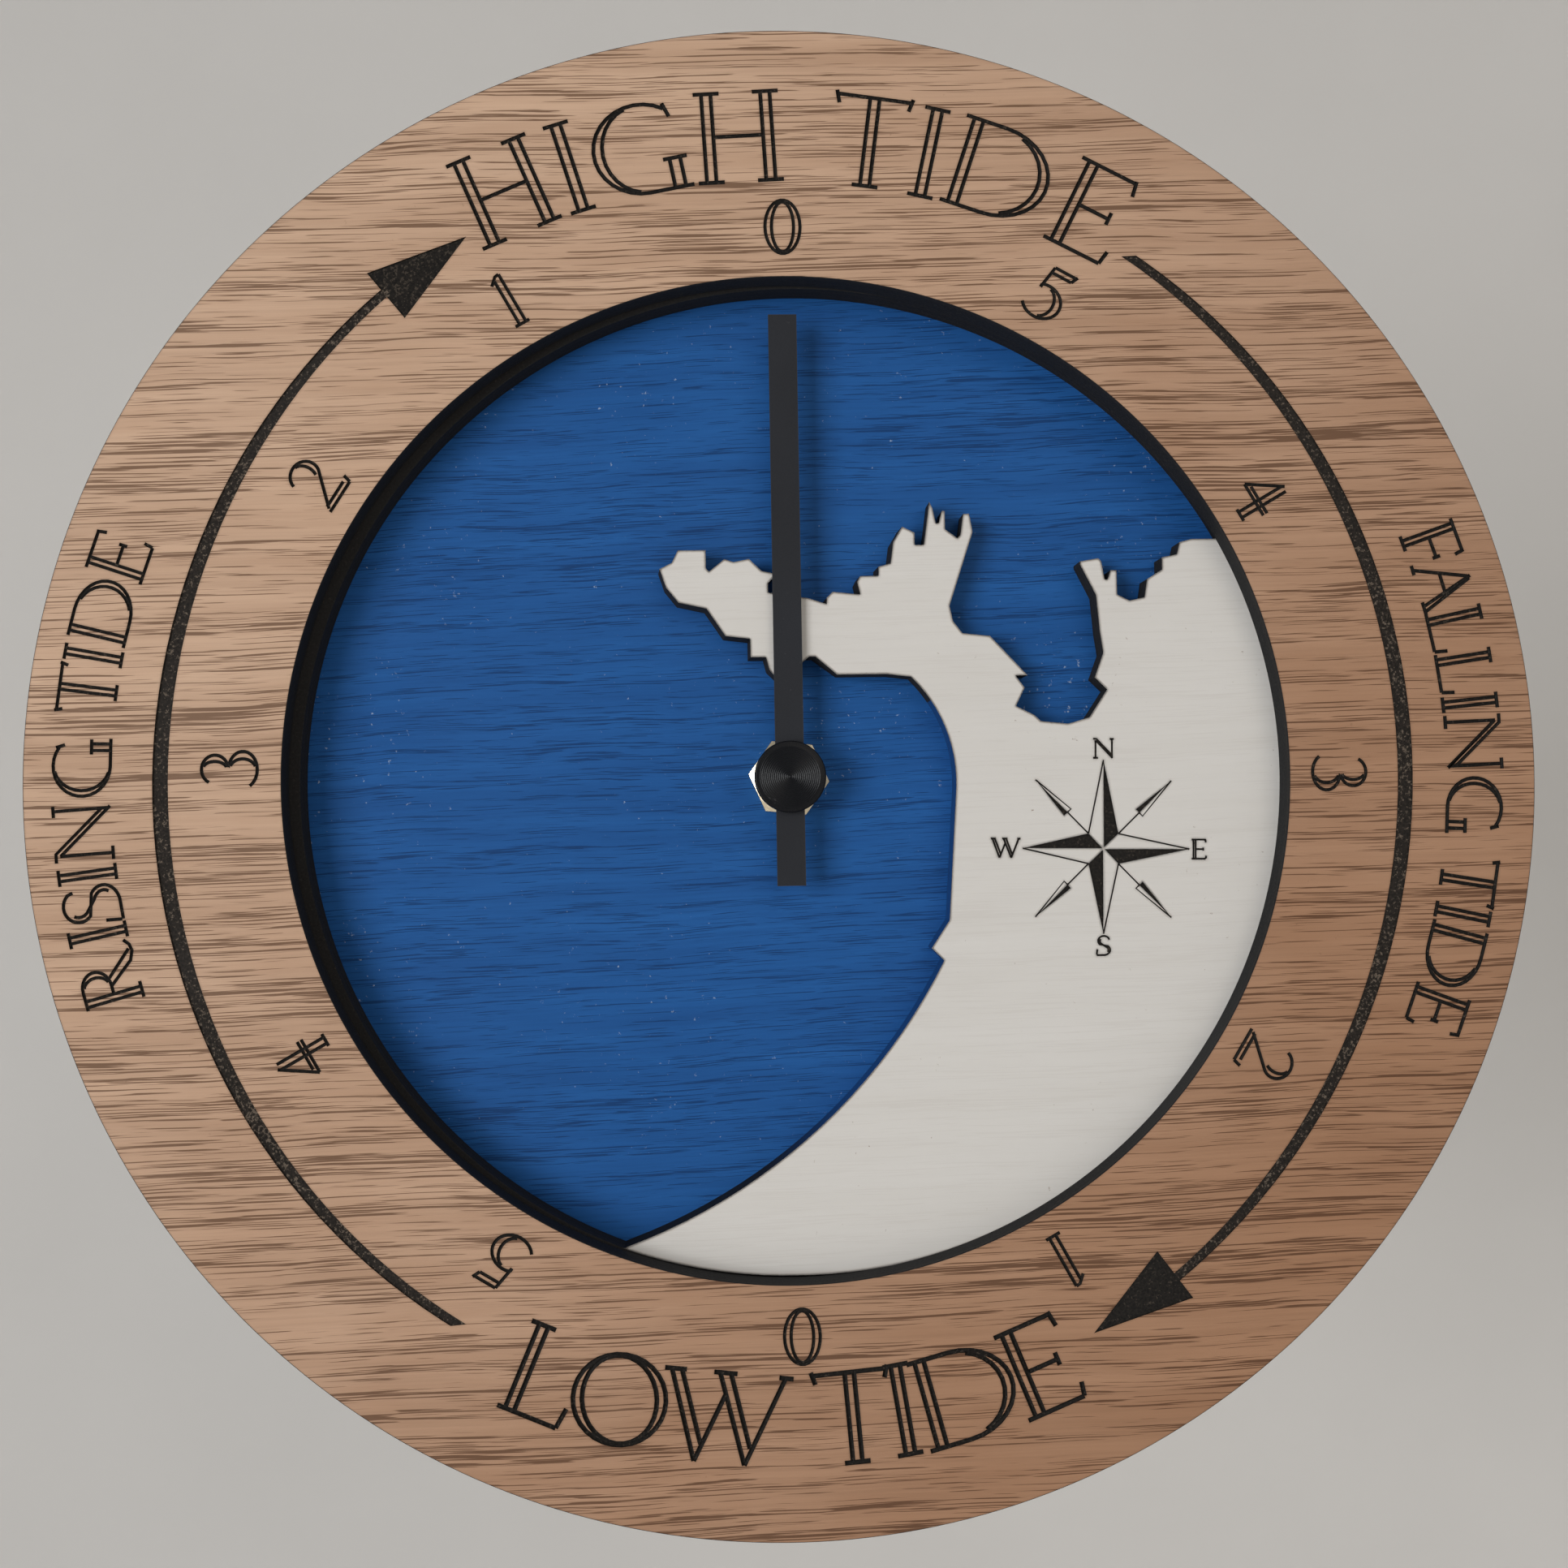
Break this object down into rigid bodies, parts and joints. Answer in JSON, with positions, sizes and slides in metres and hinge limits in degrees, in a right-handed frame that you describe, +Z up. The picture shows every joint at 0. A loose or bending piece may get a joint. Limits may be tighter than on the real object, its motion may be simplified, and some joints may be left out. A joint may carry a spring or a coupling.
{
  "type": "tide clock",
  "caption": "Round wall-hung tide clock: stacked ply rings around a blue dial with a land overlay, a straight hand and a battery quartz movement behind.",
  "frame": {"origin": "on the hand's axis, at the back face of the movement's rear cover, where it meets the wall", "axes": "+Z up, +X to the right as seen from the front, +Y into the wall; the dial faces -Y"},
  "size_m": [0.24, 0.0323, 0.24],
  "materials": {
    "ring_wood": "bare tan ply, laser cut with burnt edges",
    "dial_wood": "ply stained sea blue",
    "land_wood": "bare birch ply with burnt edges",
    "nut_brass": "bright turned brass",
    "washer_rubber": "soft black rubber",
    "case_plastic": "fine moulded texture",
    "knob_plastic": "moulded grey",
    "bridge_plastic": "moulded natural",
    "board_laminate": "paper laminate",
    "chip_resin": "poured resin",
    "plain_steel": "nickel plated",
    "coil_copper": "enamelled copper wire",
    "battery_jacket": "plain shrink jacket",
    "hand_black": "matt black lacquer",
    "cap_black": "gloss black, turned grooves",
    "wheel_plastic": "moulded natural",
    "wheel_brass": "stamped brass",
    "magnet_black": "sintered"
  },
  "bodies": {
    "clock_body": {"front_ring": "ring_wood", "spacer_ring": "ring_wood", "dial_board": "dial_wood", "land_overlay": "land_wood", "fixing_nut": "nut_brass", "rubber_washer": "washer_rubber", "threaded_bush": "nut_brass", "movement_case": "case_plastic", "rear_cover": "case_plastic", "train_bridge": "bridge_plastic", "circuit_board": "board_laminate", "driver_chip": "chip_resin", "quartz_crystal": "plain_steel", "stator": "plain_steel", "coil_core": "plain_steel", "coil_bobbin": "bridge_plastic", "coil_winding": "coil_copper", "positive_contact": "plain_steel", "negative_contact": "plain_steel"},
    "hand": {"tide_hand": "hand_black", "hand_cap": "cap_black", "hour_wheel": "wheel_plastic"},
    "motion": {"motion_wheel": "wheel_plastic"},
    "cannon": {"cannon_arbor": "plain_steel", "clutch_spring": "plain_steel"},
    "knob": {"setting_knob": "knob_plastic"},
    "centre": {"centre_wheel": "wheel_brass"},
    "third": {"third_wheel": "wheel_plastic"},
    "seconds": {"seconds_wheel": "wheel_plastic"},
    "fifth": {"fifth_wheel": "wheel_plastic"},
    "rotor_body": {"rotor": "wheel_plastic", "rotor_magnet": "magnet_black"},
    "cell": {"battery": "battery_jacket"}
  },
  "joints": [
    {"name": "hand_turn", "type": "hinge", "parent": "clock_body", "child": "hand", "pos_m": [0, 0, 0], "axis": [0, 1, 0], "continuous": true},
    {"name": "motion_turn", "type": "hinge", "parent": "clock_body", "child": "motion", "pos_m": [-0.0075, 0, 0], "axis": [0, 1, 0], "continuous": true},
    {"name": "cannon_turn", "type": "hinge", "parent": "clock_body", "child": "cannon", "pos_m": [0, 0, 0], "axis": [0, 1, 0], "continuous": true},
    {"name": "knob_turn", "type": "hinge", "parent": "clock_body", "child": "knob", "pos_m": [-0.015, 0, 0], "axis": [0, 1, 0], "continuous": true},
    {"name": "fifth_turn", "type": "hinge", "parent": "clock_body", "child": "fifth", "pos_m": [-0.00163, 0, 0.01289], "axis": [0, 1, 0], "continuous": true},
    {"name": "rotor_turn", "type": "hinge", "parent": "clock_body", "child": "rotor_body", "pos_m": [-0.00703, 0, 0.01289], "axis": [0, 1, 0], "continuous": true},
    {"name": "seconds_turn", "type": "hinge", "parent": "clock_body", "child": "seconds", "pos_m": [0.00467, 0, 0.01289], "axis": [0, 1, 0], "continuous": true},
    {"name": "third_turn", "type": "hinge", "parent": "clock_body", "child": "third", "pos_m": [0.00791, 0, 0.00596], "axis": [0, 1, 0], "continuous": true},
    {"name": "centre_turn", "type": "hinge", "parent": "clock_body", "child": "centre", "pos_m": [0, 0, 0], "axis": [0, 1, 0], "continuous": true},
    {"name": "battery_slide", "type": "slide", "parent": "clock_body", "child": "cell", "axis": [0, 1, 0], "range_m": [0, 0.02]}
  ],
  "couplings": [
    {"joint": "motion_turn", "follows": "hand_turn", "ratio": -4},
    {"joint": "cannon_turn", "follows": "hand_turn", "ratio": 12},
    {"joint": "knob_turn", "follows": "hand_turn", "ratio": 12},
    {"joint": "rotor_turn", "follows": "fifth_turn", "ratio": -5},
    {"joint": "seconds_turn", "follows": "fifth_turn", "ratio": -0.16667},
    {"joint": "third_turn", "follows": "fifth_turn", "ratio": 0.022222},
    {"joint": "centre_turn", "follows": "fifth_turn", "ratio": -0.0027778}
  ]
}
